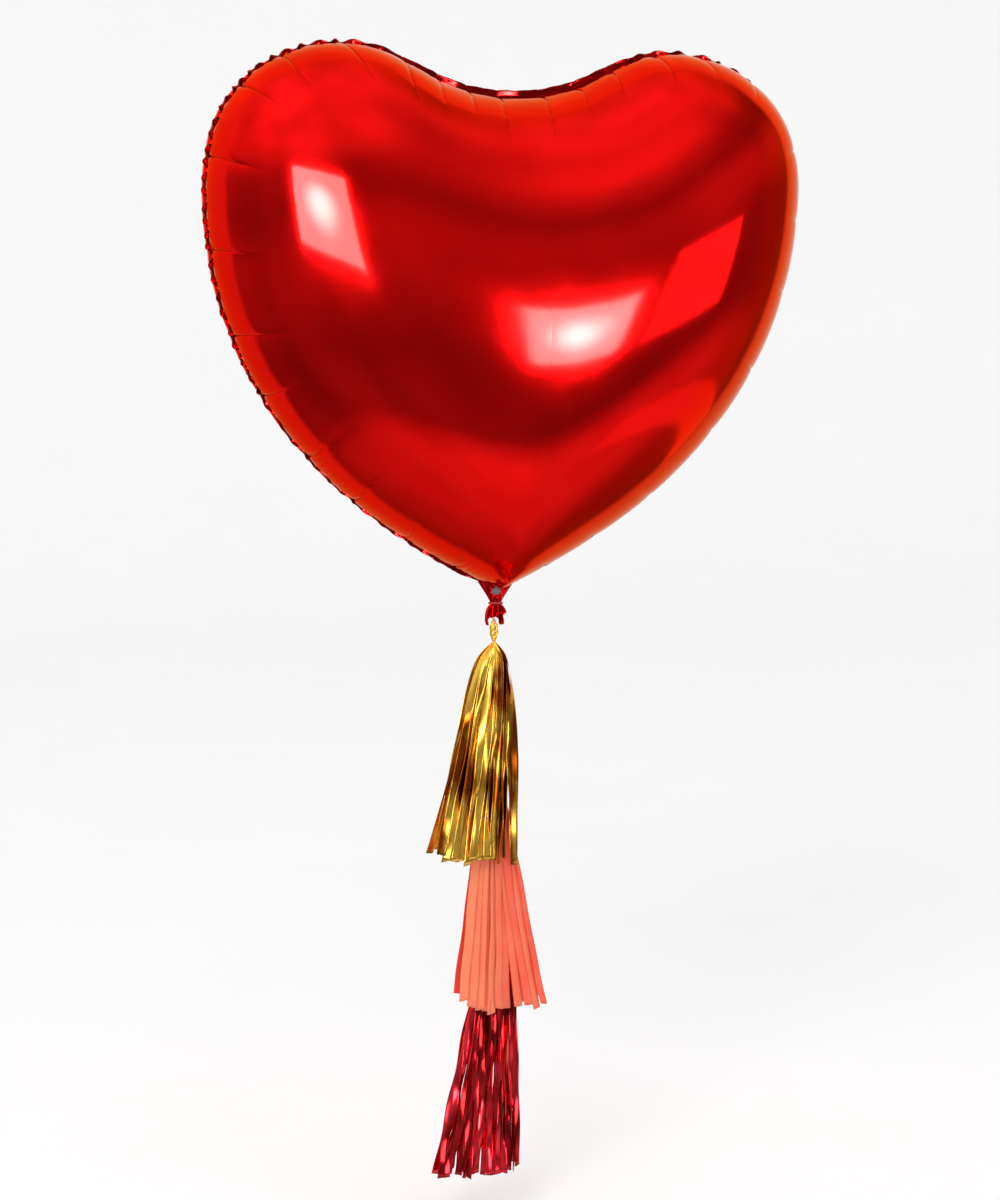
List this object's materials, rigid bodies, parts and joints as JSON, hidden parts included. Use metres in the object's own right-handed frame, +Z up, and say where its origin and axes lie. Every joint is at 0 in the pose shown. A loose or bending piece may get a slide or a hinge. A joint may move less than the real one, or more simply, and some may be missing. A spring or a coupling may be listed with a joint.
{
  "type": "heart-shaped foil balloon",
  "caption": "Inflated heart-shaped foil balloon with a sealed flange and a tied neck, carrying a hanging tail of tassels: gold foil, coral tissue and crimson foil.",
  "frame": {"origin": "in the seam plane at the tie around the neck, within a few millimetres of the flat of the neck just above it", "axes": "+Z up along the hanging tail to the heart; -Y out of the front panel; +X to the right as seen from the front"},
  "size_m": [0.7775, 0.3468, 1.4372],
  "materials": {
    "red_foil": "mirror-like metallised red film, softly wrinkled at the seam",
    "valve_film": "thin translucent grey film",
    "red_cord": "thin twisted thread",
    "pale_cord": "thin twisted thread",
    "gold_foil": "shiny metallised gold film",
    "coral_tissue": "matt tissue paper",
    "crimson_foil": "shiny metallised crimson film"
  },
  "bodies": {
    "balloon": {"front_panel": "red_foil", "back_panel": "red_foil", "self_sealing_valve": "valve_film", "neck_tie": "red_cord"},
    "hang_cord": {"hang_cord": "pale_cord"},
    "gold_loop": {"gold_loop": "gold_foil"},
    "gold_tassel": {"gold_head": "gold_foil", "gold_strip_01": "gold_foil", "gold_strip_02": "gold_foil", "gold_strip_03": "gold_foil", "gold_strip_04": "gold_foil", "gold_strip_05": "gold_foil", "gold_strip_06": "gold_foil", "gold_strip_07": "gold_foil", "gold_strip_08": "gold_foil", "gold_strip_09": "gold_foil", "gold_strip_10": "gold_foil", "gold_strip_11": "gold_foil", "gold_strip_12": "gold_foil", "gold_strip_13": "gold_foil", "upper_link_cord": "pale_cord"},
    "coral_loop": {"coral_loop": "coral_tissue"},
    "coral_tassel": {"coral_head": "coral_tissue", "coral_strip_01": "coral_tissue", "coral_strip_02": "coral_tissue", "coral_strip_03": "coral_tissue", "coral_strip_04": "coral_tissue", "coral_strip_05": "coral_tissue", "coral_strip_06": "coral_tissue", "coral_strip_07": "coral_tissue", "coral_strip_08": "coral_tissue", "coral_strip_09": "coral_tissue", "coral_strip_10": "coral_tissue", "coral_strip_11": "coral_tissue", "lower_link_cord": "pale_cord"},
    "red_loop": {"red_loop": "crimson_foil"},
    "red_tassel": {"red_head": "crimson_foil", "red_strip_01": "crimson_foil", "red_strip_02": "crimson_foil", "red_strip_03": "crimson_foil", "red_strip_04": "crimson_foil", "red_strip_05": "crimson_foil", "red_strip_06": "crimson_foil", "red_strip_07": "crimson_foil", "red_strip_08": "crimson_foil", "red_strip_09": "crimson_foil", "red_strip_10": "crimson_foil", "red_strip_11": "crimson_foil", "red_strip_12": "crimson_foil", "red_strip_13": "crimson_foil"}
  },
  "joints": [
    {"name": "tail_sway", "type": "hinge", "parent": "balloon", "child": "hang_cord", "pos_m": [0, 0.0062, 0], "axis": [0, 1, 0], "range_deg": [-60, 60]},
    {"name": "tail_swing", "type": "hinge", "parent": "hang_cord", "child": "gold_loop", "pos_m": [0, 0.0062, -0.022], "axis": [1, 0, 0], "range_deg": [-60, 60]},
    {"name": "gold_twist", "type": "hinge", "parent": "gold_loop", "child": "gold_tassel", "pos_m": [0, 0.0062, -0.056], "axis": [0, 0, 1], "range_deg": [-90, 90]},
    {"name": "coral_swing", "type": "hinge", "parent": "gold_tassel", "child": "coral_loop", "pos_m": [0, 0.0062, -0.213], "axis": [1, 0, 0], "range_deg": [-5, 5]},
    {"name": "coral_sway", "type": "hinge", "parent": "coral_loop", "child": "coral_tassel", "pos_m": [0, 0.0062, -0.247], "axis": [0, 1, 0], "range_deg": [-11, 11]},
    {"name": "red_swing", "type": "hinge", "parent": "coral_tassel", "child": "red_loop", "pos_m": [0, 0.0062, -0.418], "axis": [1, 0, 0], "range_deg": [-4.5, 4.5]},
    {"name": "red_sway", "type": "hinge", "parent": "red_loop", "child": "red_tassel", "pos_m": [0, 0.0062, -0.452], "axis": [0, 1, 0], "range_deg": [-11, 11]}
  ]
}
